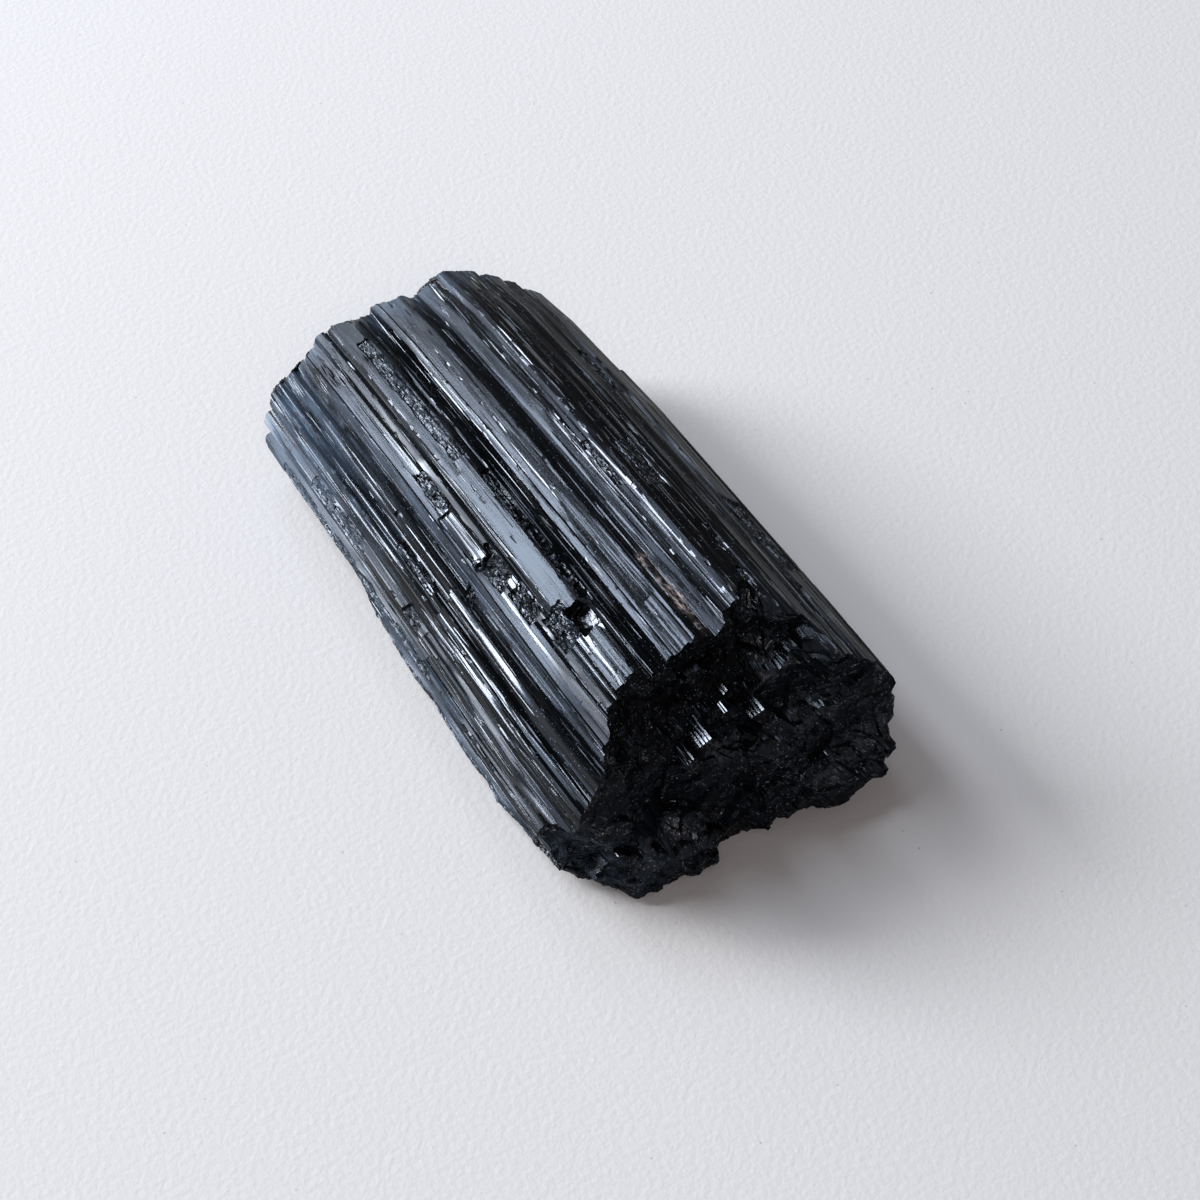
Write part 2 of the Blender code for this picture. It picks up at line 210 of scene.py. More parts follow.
# Where the skin is broken: along from, to, way round from, to, how deep, the heights of the
# splinters and of the rubble that its floor is made of, and how far the splinters turn from X.
FLAWS = [
    (-21.6, -6.2, 22.6, 24.1, 0.14, 0.10, 0.08, 0.0),
    (-8.2, -3.8, 19.3, 20.4, 0.08, 0.12, 0.06, 15.0),
    (-3.6, 1.9, 18.9, 20.4, 0.20, 0.00, 0.00, 0.0),
    (1.7, 2.0, 19.0, 20.6, 0.35, 0.00, 0.05, 0.0),
    (1.9, 5.4, 19.3, 20.9, 0.10, 0.13, 0.05, 38.0),
    (5.2, 8.9, 19.6, 21.2, 0.12, 0.14, 0.06, -32.0),
    (9.4, 12.6, 20.6, 22.5, 0.12, 0.12, 0.08, 20.0),
    (-5.0, 9.6, 24.1, 25.2, 0.30, 0.12, 0.08, 0.0),
    (10.4, 13.0, 22.4, 24.3, 1.30, 0.22, 0.20, 0.0),
    (-1.6, 3.4, 35.6, 37.2, 0.06, 0.05, 0.02, 10.0),
    (-3.0, 2.6, 33.5, 34.1, 0.14, 0.10, 0.06, 0.0),
    (9.4, 10.9, 37.1, 37.7, 0.15, 0.06, 0.06, 20.0),
    (12.8, 14.2, 36.7, 37.3, 0.15, 0.06, 0.06, -20.0),
    (-27.0, -13.4, 46.5, 52.0, 0.35, 0.14, 0.06, 0.0),
    (-4.5, 0.8, 13.2, 14.6, 0.15, 0.10, 0.03, 0.0),
    (-1.4, 0.2, 9.4, 10.2, 0.22, 0.05, 0.05, 0.0),
    (-6.5, -5.4, 15.3, 16.1, 0.20, 0.08, 0.06, 30.0),
    (2.7, 3.8, 16.8, 17.6, 0.20, 0.08, 0.06, 30.0),
    (-21.0, 3.0, 5.8, 6.9, 0.08, 0.08, 0.07, 0.0),
    (-16.0, -9.0, 9.0, 10.2, 0.08, 0.10, 0.04, 0.0),
    (-14.0, -8.5, 40.9, 42.6, 0.20, 0.12, 0.05, 0.0),
    (4.0, 12.0, 43.7, 45.9, 0.15, 0.12, 0.05, 8.0),
    (15.0, 19.5, 47.8, 49.2, 0.25, 0.14, 0.10, 12.0),
    (-4.0, 2.0, 54.6, 56.6, 0.20, 0.12, 0.08, -14.0),
    (17.3, 27.0, 0.9, 3.8, 0.12, 0.08, 0.13, 0.0),
    (-12.0, 17.3, 0.5, 2.3, 0.05, 0.07, 0.06, 0.0),
]

# The length and width of splinters, then of the coarse and the fine rubble between them, in mm.
SPLINTER_SIZE = (1.4, 0.16)
RUBBLE_SIZES = [(0.45, 0.2), (0.25, 0.15)]

# The edges between columns are knocked off here and there: the length and the widest reach of a
# bite and its depth, in mm, the level, from -1 to 1, that a bite's random number has to pass, and
# how torn a bite looks, from 0 to 1.
BITE_LENGTH = 0.7
BITE_WIDTH = 0.32
BITE_DEPTH = 0.05
BITE_LEVEL = 0.58
BITE_TORN = 0.35

# Pale mineral crust in one groove: along from, to, way round from, to.
CRUST = (8.2, 16.4, 30.9, 31.9)
# Dust, whose blue-grey colour is partly a painted reflection of the cool light: along from, to, way round
# from, to, how much. Three patches of the left side lie one inside another, so its dust and painted
# sheen thicken towards the far end.
DUSTY_WITH_SHEEN = [
    (-20.0, 15.0, 17.6, 19.3, 0.30),
    (-21.6, -6.2, 22.5, 24.2, 0.20),
    (-21.0, 8.0, 5.8, 7.0, 0.35),
    # The far left tip: thick pale dust, whose near-white is partly a painted highlight.
    (-27.0, -22.5, 7.8, 11.8, 0.9),
    (9.0, 15.6, 20.4, 22.8, 0.10),
    (-24.0, 12.0, 31.0, 33.0, 0.10),
    (-8.0, 17.3, 0.9, 3.2, 0.3),
    (-27.0, -4.0, 3.2, 17.0, 0.22),
    (-27.0, -11.0, 3.2, 17.0, 0.36),
    (-27.0, -17.0, 3.2, 17.0, 0.55),
    (-27.0, -23.8, 1.0, 40.0, 0.5),
]
# Where the faces are rubbed dull: along from, to, way round from, to, how much.
RUBBED = [
    (-27.0, 27.0, 38.0, 61.0, 0.8),
    (-27.0, -14.0, 1.0, 38.0, 0.5),
    (-14.0, -4.0, 1.0, 38.0, 0.25),
    (-8.0, 20.0, 0.9, 3.2, 0.6),
    (-3.6, 1.9, 18.8, 20.4, 0.8),
    (-10.0, 27.0, 6.7, 7.5, 0.7),
    (-10.0, 27.0, 9.5, 10.4, 0.6),
    (-10.0, 27.0, 20.3, 21.0, 0.7),
    (12.0, 27.0, 18.6, 20.0, 0.7),
    (3.0, 17.0, 33.9, 35.2, 0.4),
]
# Where the faces are finely etched and return less light: the same.
ETCHED = [
    (-27.0, 4.0, 20.3, 21.0, 0.7),
    (4.0, 27.0, 20.3, 21.0, 0.75),
    (-3.6, 1.9, 18.8, 20.4, 0.75),
    (-27.0, 27.0, 6.6, 7.6, 0.7),
    (-27.0, 27.0, 9.5, 10.4, 0.6),
    (3.0, 14.5, 16.7, 17.4, 0.75),
    (-27.0, 27.0, 43.2, 43.7, 0.85),
    (12.0, 27.0, 18.6, 20.0, 0.65),
]
COVERS = ("torn", "broken", "rubbed", "etched_and_shade", "crust", "dust")

# How raggedly each kind of patch ends, as a share of the skin's own wobble.
CRUST_RAGGED = 1.6
DUST_RAGGED = 5.0
RUBBED_RAGGED = 8.0
ETCHED_RAGGED = 3.0

# ---- Relief too fine for the mesh, all in mm ----

# Flat facets: how long and how wide they are, and how far they lean. Those of the grown faces lean
# to the sides of X only, and those of a break lean all ways.
GROWN_FACETS = [(30.0, 0.35, 0.12), (12.0, 0.14, 0.14)]
BREAK_FACETS = [(1.10, 0.16, 0.55), (0.12, 0.10, 0.35)]
SIDEWAYS = (0.0, 1.0, 1.0)
ALL_WAYS = (1.0, 1.0, 1.0)

# The narrow side faces that lean far over: length and width.
STRIP_SIZE = (12.0, 0.12)

# Hairlines along X: how long they are, how wide they and the tooth of worn faces are, and how high.
HAIR_RUN = 16.0
TOOTH = 0.10
TOOTH_HEIGHT = 0.02

# Specks of dust: how far apart they can lie, and their smallest and largest radius, as shares of it.
SPECK_GAP = 0.17
SPECK_RADII = (0.08, 0.28)

# ---- The stage ----

TARGET = Vector((5.33, -0.385, 8.0)) * MM
CAMERA_AZIMUTH = 58.6
CAMERA_ELEVATION = 50.0
CAMERA_DISTANCE = 200 * MM
LENS = 84.0
FLOOR_SIDE = 3.0

# Soft lights: the direction that each stands in, its distance, width and height in metres, its
# radiance and its colour.
LIGHTS = {
    "window": ((-0.656, -0.591, 0.469), 0.9, 0.32, 0.32, 27.5, "#f8faff"),
    "high_pane": ((-0.549, -0.291, 0.784), 0.6, 0.30, 0.15, 9.0, "#e6effc"),
    "sky": ((-0.562, 0.172, 0.809), 0.6, 0.30, 0.13, 2.7, "#dbe7fa"),
    "low_wall": ((-0.710, -0.686, 0.156), 0.9, 0.75, 0.26, 3.0, "#d3e2fa"),
    "pale_wall": ((-0.896, -0.240, 0.375), 0.9, 0.42, 0.60, 2.0, "#e8f0fc"),
    "front_pane": ((0.620, -0.300, 0.725), 0.9, 0.30, 0.30, 3.8, "#fff0ee"),
}
ROOM_COLOUR = "#dfdade"
ROOM_STRENGTH = 0.18

# ---- Numbers over a surface ----


def eased(share):
    """Share from 0 to 1, made flat at both ends."""
    share = np.clip(share, 0.0, 1.0)
    return share * share * (3.0 - 2.0 * share)


def soft_noise(points, size, seed):
    """Soft noise from -1 to 1: random values on a cube lattice of this size, eased between the
    eight nearest to each point."""
    side = 64
    table = np.random.default_rng(seed).uniform(-1.0, 1.0, (side, side, side)).astype(np.float32)
    place = points / size
    cell = np.floor(place).astype(int)
    part = eased(place - cell)
    total = np.zeros(points.shape[:-1])
    for step in itertools.product((0, 1), repeat=3):
        weight = np.prod(np.where(step, part, 1.0 - part), axis=-1)
        index = (cell + step) % side
        total += weight * table[index[..., 0], index[..., 1], index[..., 2]]
    return total


def layered_noise(points, size, layers, seed):
    """Soft noise in layers, each half the size and half the height of the one before it."""
    return sum(soft_noise(points, size / 2**n, seed + n) / 2**n for n in range(layers))


def nearest_cell(first, second, seed):
    """The plane, cut into cells around shaken grid points. For each place, counted in cells: how far
    it is from its cell's middle both ways, and three random numbers from -1 to 1 for that cell."""
    side = 128
    random = np.random.default_rng(seed)
    shake = random.uniform(0.1, 0.9, (side, side, 2))
    numbers = random.uniform(-1.0, 1.0, (side, side, 3))
    best = np.full(first.shape, np.inf)
    found = np.zeros(first.shape + (5,))
    for over, down in itertools.product((-1, 0, 1), repeat=2):
        i = np.floor(first).astype(int) + over
        j = np.floor(second).astype(int) + down
        away_first = first - i - shake[i % side, j % side, 0]
        away_second = second - j - shake[i % side, j % side, 1]
        gap = away_first**2 + away_second**2
        number = numbers[i % side, j % side]
        here = np.concatenate([away_first[..., None], away_second[..., None], number], axis=-1)
        nearer = gap < best
        best = np.where(nearer, gap, best)
        found = np.where(nearer[..., None], here, found)
    return found[..., 0], found[..., 1], found[..., 2:]


def shards(first, second, step, tilt, seed):
    """Broken flats: each cell of the plane has its own height (step) and slope (tilt), in mm."""
    away_first, away_second, number = nearest_cell(first, second, seed)
    return step * number[..., 0] + tilt * (away_first * number[..., 1] + away_second * number[..., 2])


def reach(marks, across, up):
    """Where a break lies along X: each place takes after the marks nearest to it."""
    total = np.zeros(across.shape)
    weights = np.zeros(across.shape)
    for mark_across, mark_up, mark_along in marks:
        gap = (across - mark_across) ** 2 + (up - mark_up) ** 2
        weight = (gap + MARK_BLUR**2) ** -2
        total += weight * mark_along
        weights += weight
    return total / weights


def column_tips(marks, across, up, size, step, tilt, seed):
    """Where a break lies along X when it cuts the bundle into columns about one size thick. Each
    column stops square, at the height that the marks give its middle, with its own tilt."""
    points = np.stack([across, up, np.zeros(across.shape)], axis=-1)
    wavy_across = across + 0.2 * size * layered_noise(points, size, 2, seed + 1)
    wavy_up = up + 0.2 * size * layered_noise(points, size, 2, seed + 5)
    away_across, away_up, number = nearest_cell(wavy_across / size, wavy_up / size, seed)
    middle = reach(marks, across - away_across * size, up - away_up * size)
    return middle + step * number[..., 0] + tilt * (away_across * number[..., 1] + away_up * number[..., 2])


def grainy_share(points):
    """How granular a break is, from 0 where it is a clean glassy flat to 1."""
    return eased(0.5 + 1.8 * layered_noise(points, 3.2, 2, 12))


def hollow_share(across, up):
    """1 in the hollow of the broken end and 0 outside it."""
    middle_across, middle_up, half_width, half_height = HOLLOW
    gap = np.hypot((across - middle_across) / half_width, (up - middle_up) / half_height)
    return eased((1.1 - gap) / 0.4)


def cut_into_columns(marks, smooth, across, up, columns):
    """Where a break lies along X: a share of it is smooth, and each thickness of column has its own
    share of the rest."""
    along = (1.0 - sum(share for share, *_ in columns)) * smooth
    for share, size, step, tilt, seed in columns:
        along = along + share * column_tips(marks, across, up, size, step, tilt, seed)
    return along


def grains(across, up, size, step, tilt, seed):
    """The grains of a break, as broken flats of this size."""
    return shards(across / size, up / size, step, tilt, seed)


def broken_reach(across, up):
    """The broken end: thick and thin columns that stop at their own heights, and their grains."""
    smooth = reach(BROKEN_MARKS, across, up)
    points = np.stack([smooth, across, up], axis=-1)
    grainy = grainy_share(points)
    coarse, fine = (grains(across, up, *row) for row in BROKEN_GRAINS)
    along = cut_into_columns(BROKEN_MARKS, smooth, across, up, BROKEN_COLUMNS)
    along += 0.22 * layered_noise(points, 2.4, 2, 11)
    return along + coarse * (0.3 + 0.7 * grainy) + fine * grainy


def far_reach(across, up):
    """The far end: rounded column tips that stop almost level, and their grains."""
    smooth = reach(FAR_MARKS, across, up)
    points = np.stack([smooth, across, up], axis=-1)
    along = cut_into_columns(FAR_MARKS, smooth, across, up, FAR_COLUMNS)
    along += 0.3 * layered_noise(points, 2.0, 3, 51)
    return along + sum(grains(across, up, *row) for row in FAR_GRAINS)


# ---- The bundle's sides ----


def spread_corners():
    """The outline half way along, as closely spaced points: across, up and the way round in mm.
    Every corner keeps a point, so its edge stays sharp."""
    sides = np.roll(CORNERS, -1, axis=0) - CORNERS
    lengths = np.hypot(*sides.T)
    counts = np.maximum(FEWEST_ON_A_SIDE, np.round(AROUND * lengths / lengths.sum())).astype(int)
    side = np.repeat(np.arange(len(CORNERS)), counts)
    starts = np.cumsum(counts) - counts
    share = (np.arange(counts.sum()) - starts[side]) / counts[side]
    places = CORNERS[side] + sides[side] * share[:, None]
    way_round = (np.cumsum(lengths) - lengths)[side] + lengths[side] * share
    return places[:, 0], places[:, 1], way_round, lengths.sum()


def with_ledge(across, up, along):
    """Places on the outline half way along, with those of the foot's ledge moved out to its edge."""
    places, reaches = LEDGE.T
    below = np.clip((LEDGE_TOP - up) / LEDGE_SLOPE, 0.0, 1.0)
    beyond = np.clip((LEDGE_ROOT - across) / LEDGE_RUN, 0.0, 1.0)
    return across - np.interp(along, places, reaches) * below * beyond


def bundle(across, up, along):
    """Where a place on the outline half way along lies at another place along X."""
    places, lefts, rights, heights = STATIONS.T
    left = np.interp(along, places, lefts)
    right = np.interp(along, places, rights)
    across = across * np.where(across < 0.0, left, right)
    up = up * np.interp(along, places, heights)
    low = np.clip(1.0 - up / LIFT_HEIGHT, 0.0, 1.0) * np.clip(across / LIFT_SIDE, 0.0, 1.0)
    return across, up + LIFT_SLOPE * np.maximum(along - LIFT_START, 0.0) * low


def growth_lines(along, way_round, perimeter, height, pitch, run, seed):
    """Growth lines of this height, in mm: creases about one pitch apart with a flat between each
    two. A crease strays a little sideways. It keeps its height along X for about one run, then goes
    to another, at once or slowly."""
    random = np.random.default_rng(seed)
    places = np.stack([along / STRAY_RUN, way_round / STRAY_PITCH, np.zeros(along.shape)], axis=-1)
    way_round = (way_round + STRAY * soft_noise(places, 1.0, seed)) % perimeter
    count = int(perimeter / pitch)
    gaps = random.uniform(0.35, 1.65, count)
    creases = np.cumsum(gaps) * perimeter / gaps.sum()
    runs = 16
    levels = random.uniform(-1.0, 1.0, (count, runs))
    stretch = random.uniform(0.5, 1.8, count) * run
    shift = random.uniform(0.0, runs, count)
    step_length = random.uniform(*STEP_LENGTHS, count)
    after = np.searchsorted(creases, way_round, side="right") % count
    before = after - 1
    span = (creases[after] - creases[before]) % perimeter
    share = ((way_round - creases[before]) % perimeter) / span

    def level(crease):
        place = along / stretch[crease] + shift[crease]
        whole = np.floor(place).astype(int)
        step = eased((place - whole - 1.0) * stretch[crease] / step_length[crease] + 1.0)
        here = levels[crease, whole % runs]
        return here + (levels[crease, (whole + 1) % runs] - here) * step

    low = level(before)
    return height * (low + (level(after) - low) * share)


def patch_share(along, way_round, patch, wobble):
    """1 inside a patch of the skin and 0 outside it. Its ends are torn, its sides nearly straight."""
    start, end, low, high = patch
    ends = np.minimum(along - start, end - along) + 0.5 * wobble
    sides = np.minimum(way_round - low, high - way_round) + 0.12 * wobble
    return eased(ends / 0.12 + 0.5) * eased(sides / 0.08 + 0.5)


def splintered(along, way_round, share, splinter, rubble, turn, seed):
    """The floor of a broken patch, in mm: splinters that lie along a turned X, and rubble. Only
    the places inside the patch are worked out."""
    relief = np.zeros(along.shape)
    inside = share > 0.0
    place, way = along[inside], way_round[inside]
    angle = np.radians(turn)
    with_grain = place * np.cos(angle) + way * np.sin(angle)
    over_grain = way * np.cos(angle) - place * np.sin(angle)
    length, width = SPLINTER_SIZE
    here = shards(with_grain / length, over_grain / width, 0.5 * splinter, 0.6 * splinter, seed)
    (length, width), (short, narrow) = RUBBLE_SIZES
    here += shards(place / length, way / width, 0.5 * rubble, 0.6 * rubble, seed + 1)
    here += shards(place / short, way / narrow, 0.15 * rubble, 0.3 * rubble, seed + 2)
    relief[inside] = here * share[inside]
    return relief


def outer_edges():
    """The way round, in mm, of each corner of the outline that sticks out."""
    sides = np.roll(CORNERS, -1, axis=0) - CORNERS
    before = np.roll(sides, 1, axis=0)
    lengths = np.hypot(*sides.T)
    outer = before[:, 0] * sides[:, 1] - before[:, 1] * sides[:, 0] < 0.0
    return (np.cumsum(lengths) - lengths)[outer]


def bitten(along, way_round):
    """1 where an outer edge is knocked off and 0 elsewhere. Each edge is cut into cells along X,
    and each cell has its own reach in from the edge, with its own slope; most have none."""
    edges = outer_edges()
    edge = edges[np.searchsorted((edges[1:] + edges[:-1]) / 2.0, way_round)]
    away, _, number = nearest_cell(along / BITE_LENGTH, 7.0 * edge, 131)
    width = BITE_WIDTH * (number[..., 0] - BITE_LEVEL + 0.6 * number[..., 1] * away)
    return eased((width - np.abs(way_round - edge)) / 0.12)


def most_of(patches, along, way_round, wobble):
    """The amount of the strongest patch at each place. Each patch ends with its own amount."""
    most = np.zeros(along.shape)
    for *patch, amount in patches:
        most = np.maximum(most, amount * patch_share(along, way_round, patch, wobble))
    return most


def growth_relief(along, way_round, perimeter, wobble):
    """The growth lines of the whole skin, in mm, stronger or weaker in some patches."""
    coarse = growth_lines(along, way_round, perimeter, *COARSE_LINES)
    fine = sum(growth_lines(along, way_round, perimeter, *lines) for lines in FINE_LINES)
    coarse_share = np.ones(along.shape)
    fine_share = np.ones(along.shape)
    for *patch, coarse_here, fine_here in STRENGTHS:
        share = patch_share(along, way_round, patch, wobble)
        coarse_share += (coarse_here - 1.0) * share
        fine_share += (fine_here - 1.0) * share
    return coarse * coarse_share + fine * fine_share


def skin_relief(points, along, way_round, perimeter):
    """How far the skin stands out from the bundle's flat faces, in mm, and its covers, from 0 to 1:
    torn, broken across, rubbed, etched, crusted and dusty."""
    wobble = layered_noise(points, 1.3, 3, 111)
    out = growth_relief(along, way_round, perimeter, wobble)
    torn = np.zeros(along.shape)
    for number, (*patch, depth, splinter, rubble, turn) in enumerate(FLAWS):
        share = patch_share(along, way_round, patch, wobble)
        out += splintered(along, way_round, share, splinter, rubble, turn, 200 + 3 * number) - depth * share
        torn = np.maximum(torn, share * min(1.0, rubble / 0.15))
    bites = bitten(along, way_round)
    out -= BITE_DEPTH * bites
    torn = np.maximum(torn, BITE_TORN * bites)
    crust = patch_share(along, way_round, CRUST, CRUST_RAGGED * wobble)
    crust *= eased(0.5 + 1.6 * layered_noise(points, 0.7, 4, 113))
    out += 0.04 * crust * (1.0 + soft_noise(points, 0.16, 115))
    dust = most_of(DUSTY_WITH_SHEEN, along, way_round, DUST_RAGGED * wobble)
    rubbed = most_of(RUBBED, along, way_round, RUBBED_RAGGED * wobble)
    etched_and_shade = most_of(ETCHED, along, way_round, ETCHED_RAGGED * wobble)
    return out, np.stack([torn, np.zeros(along.shape), rubbed, etched_and_shade, crust, dust])


def side_rows(across, up, way_round, perimeter):
    """Rows of points from the far end to the broken end, one column for each place around, and
    their covers."""
    share = np.linspace(0.0, 1.0, ALONG)[:, None]
    far = far_reach(across, up)
    along = far + (broken_reach(across, up) - far) * share
    wide_across = with_ledge(across, up, along)
    ring_across, ring_up = bundle(wide_across, up, along)
    points = np.stack([along, ring_across, ring_up], axis=-1)
    ways = np.broadcast_to(way_round, along.shape)
    out, covers = skin_relief(points, along, ways, perimeter)
    turn_across = np.roll(ring_across, -1, axis=1) - np.roll(ring_across, 1, axis=1)
    turn_up = np.roll(ring_up, -1, axis=1) - np.roll(ring_up, 1, axis=1)
    length = np.hypot(turn_across, turn_up)
    points[..., 1] -= out * turn_up / length
    points[..., 2] += out * turn_across / length
    return points, covers


def end_rows(across, up, rim, surface, rounding, hollow_shade, dust):
    """Rows of points from a rim in to the middle of an end, and their covers: each keeps its share
    of the way from the middle line to the rim, and the break sets how far it is along X. Its hollow
    gets this much painted shade, a lower specular level with fewer sparkles, and its low left corner
    has this much dust."""
    share = np.linspace(1.0, 0.0, END_RINGS + 2)[1:-1, None]
    flat_across = AXIS[0] + (across - AXIS[0]) * share
    flat_up = AXIS[1] + (up - AXIS[1]) * share
    middle = rim.mean(axis=0)
    points = middle + (rim - middle) * share[..., None]
    points[..., 0] = surface(flat_across, flat_up) + rounding * (1.0 - share**8)
    dark = hollow_shade * hollow_share(flat_across, flat_up)
    corner = eased((-flat_across - 3.0) / 4.0) * eased((7.0 - flat_up) / 3.0)
    covers = np.zeros((len(COVERS),) + dark.shape)
    covers[COVERS.index("broken")] = (0.35 + 0.65 * grainy_share(points)) * (1.0 - 0.6 * dark)
    # Painted shade in the hollow, carried in the etched cover.
    covers[COVERS.index("etched_and_shade")] = dark
    covers[COVERS.index("dust")] = dust * (0.3 + 0.7 * corner) * (1.0 - dark)
    return points, covers


def stub_outline(half_width):
    """The cross-section of a stub column before it leans, clockwise from the left corner of its upper
    side: how far to the side each corner is, and how far up. Terraces with V grooves between them
    make the upper side, and two corners its foot."""
    groove_width, groove_depth = GROOVE
    terraces = max(2, round(2.0 * half_width / TERRACE))
    edges = np.linspace(-half_width, half_width, terraces + 1)
    tops = np.stack([edges[:-1], edges[1:] - groove_width, edges[1:] - groove_width / 2.0], axis=1)
    side = np.append(tops, [half_width, -half_width])
    level = np.append(np.tile([0.0, 0.0, -groove_depth], terraces), [-STUB_DEPTH, -STUB_DEPTH])
    return side, level


def stub_column(along, across, up, half_length, half_width, seed):
    """Two rings of points, at the buried end of a prism along X and at its slanted tip. The prism
    leans, and rises towards its tip."""
    side, level = stub_outline(half_width)
    slant = np.random.default_rng(seed).uniform(-0.4, 0.4)
    place = np.stack([np.full(len(side), -half_length), half_length + slant * side])
    level = level + STUB_RISE * place
    ring_across = across + side * np.cos(STUB_LEAN) - level * np.sin(STUB_LEAN)
    ring_up = up + side * np.sin(STUB_LEAN) + level * np.cos(STUB_LEAN)
    return np.stack([along + place, ring_across, ring_up], axis=-1)


def fitted(points):
    """The points in metres, in the box that the solid fills."""
    low, high = (np.array(corner) for corner in cad_box)
    points[:, 2] = np.maximum(points[:, 2], 0.0)
    least = points.min(axis=0)
    most = points.max(axis=0)
    return low + (points - least) * (high - low) / (most - least)


def closed_tube(rows):
    """A tube from rows of points, with a point in the middle of each end: its points, and the corner
    numbers of its four-sided faces and of the fans that close it. Where the rows go round clockwise,
    seen from the last one, the faces point outwards."""
    count, columns = rows.shape[:2]
    here = np.arange(count * columns).reshape(count, columns)
    there = np.roll(here, -1, axis=1)
    quads = np.stack([here[:-1], here[1:], there[1:], there[:-1]], axis=-1).reshape(-1, 4)
    first = count * columns
    start = np.stack([here[0], there[0], np.full(columns, first)], axis=-1)
    end = np.stack([there[-1], here[-1], np.full(columns, first + 1)], axis=-1)
    points = np.concatenate([rows.reshape(-1, 3), rows[[0, -1]].mean(axis=1)])
    return points, quads, np.concatenate([start, end])


def joined_tubes(tubes):
    """The points and the faces of several tubes, as those of one mesh."""
    points, quads, triangles = zip(*tubes)
    starts = np.cumsum([0] + [len(part) for part in points])
    quads = np.concatenate([part + start for part, start in zip(quads, starts)])
    triangles = np.concatenate([part + start for part, start in zip(triangles, starts)])
    return np.concatenate(points), quads, triangles


def mesh_from(name, points, quads, triangles, attributes):
    """A mesh from arrays: points, four-sided and three-sided faces, and numbers kept on points."""
    mesh = bpy.data.meshes.new(name)
    mesh.vertices.add(len(points))
    mesh.vertices.foreach_set("co", points.astype(np.float32).ravel())
    corners = np.concatenate([quads.ravel(), triangles.ravel()]).astype(np.int32)
    mesh.loops.add(len(corners))
    mesh.loops.foreach_set("vertex_index", corners)
    sizes = np.concatenate([np.full(len(quads), 4), np.full(len(triangles), 3)])
    mesh.polygons.add(len(sizes))
    mesh.polygons.foreach_set("loop_start", (np.cumsum(sizes) - sizes).astype(np.int32))
    mesh.update(calc_edges=True)
    for label, values in attributes.items():
        layer = mesh.attributes.new(label, "FLOAT", "POINT")
        layer.data.foreach_set("value", values.astype(np.float32))
    return mesh


def thinned(mesh, share):
    """The mesh with this share of its triangles: the flatter the skin, the more of them go."""
    obj = bpy.data.objects.new(mesh.name, mesh)
    bpy.context.scene.collection.objects.link(obj)
    modifier = obj.modifiers.new("thinned", "DECIMATE")
    modifier.ratio = share
    graph = bpy.context.evaluated_depsgraph_get()
    light = bpy.data.meshes.new_from_object(obj.evaluated_get(graph))
    obj.modifiers.clear()
    obj.data = light
    bpy.data.meshes.remove(mesh)
    return obj


def keep_in_box(mesh):
    """Puts the few points that thinning has moved out of the solid's box back on its side."""
    points = np.empty(len(mesh.vertices) * 3, np.float32)
    mesh.vertices.foreach_get("co", points)
    points = np.clip(points.reshape(-1, 3), *(np.array(corner) for corner in cad_box))
    mesh.vertices.foreach_set("co", points.astype(np.float32).ravel())
    mesh.update()


def joined_covers(parts, count):
    """Each cover's numbers on the rows of all parts, then on both poles, and the same number, a
    broken face's, on the points of the stub columns."""
    attributes = {}
    for name, *covers in zip(COVERS, *parts):
        cover = np.concatenate(covers)
        cover = np.append(cover.ravel(), cover[[0, -1]].mean(axis=1))
        on_stubs = 0.35 if name == "broken" else 0.0
        attributes[name] = np.append(cover, np.full(count - len(cover), on_stubs))
    return attributes


def crystal():
    """The whole skin as one closed tube, an end from its middle out, the sides and the other end,
    with the stub columns set into it."""
    across, up, way_round, perimeter = spread_corners()
    sides, side_covers = side_rows(across, up, way_round, perimeter)
    far, far_covers = end_rows(across, up, sides[0], far_reach, -FAR_EDGE_ROUNDING, 0.0, 0.0)
    near, near_covers = end_rows(across, up, sides[-1], broken_reach, 0.0, HOLLOW_PAINTED_SHADE, BROKEN_DUST)
    tubes = [closed_tube(np.concatenate([far[::-1], sides, near]))]
    tubes += [closed_tube(stub_column(*stub, 300 + number)) for number, stub in enumerate(STUBS)]
    points, quads, triangles = joined_tubes(tubes)
    attributes = joined_covers([far_covers[:, ::-1], side_covers, near_covers], len(points))
    mesh = mesh_from("crystal", fitted(points), quads, triangles, attributes)
    obj = thinned(mesh, MOST_TRIANGLES / (2 * len(quads) + len(triangles)))
    keep_in_box(obj.data)
    obj.data.shade_smooth()
    obj.data.set_sharp_from_angle(angle=np.radians(SHARPEST_SMOOTH_EDGE))
    obj.data.materials.append(schorl())
    return obj


# ---- Finishes ----


def linear(hex_colour):
    """A colour written as sRGB hex, as the linear values that the shaders take."""
    values = np.array([int(hex_colour[i : i + 2], 16) for i in (1, 3, 5)]) / 255.0
    values = np.where(values <= 0.04045, values / 12.92, ((values + 0.055) / 1.055) ** 2.4)
    return (*values, 1.0)


def add(tree, kind, inputs=(), **settings):
    """Adds a node with its settings, and gives its outputs. The inputs are in the node's own order,
    or under their names. Each is a value, or the output that is linked to it."""
    node = tree.nodes.new("ShaderNode" + kind)
    for name, value in settings.items():
        setattr(node, name, value)
    for name, value in inputs.items() if isinstance(inputs, dict) else enumerate(inputs):
        if isinstance(value, bpy.types.NodeSocket):
            tree.links.new(value, node.inputs[name])
        else:
            node.inputs[name].default_value = value
    return node.outputs


def new_material(name):
    """An empty material: its node tree and its Principled shader."""
    material = bpy.data.materials.new(name)
    material.use_nodes = True
    tree = material.node_tree
    return material, tree, tree.nodes["Principled BSDF"]


def stretched(tree, place, run, pitch):
    """A place, measured in steps of one run along X and one pitch both ways across it, in mm."""
    return add(tree, "Mapping", {"Vector": place, "Scale": (1 / run, 1 / pitch, 1 / pitch)})[0]


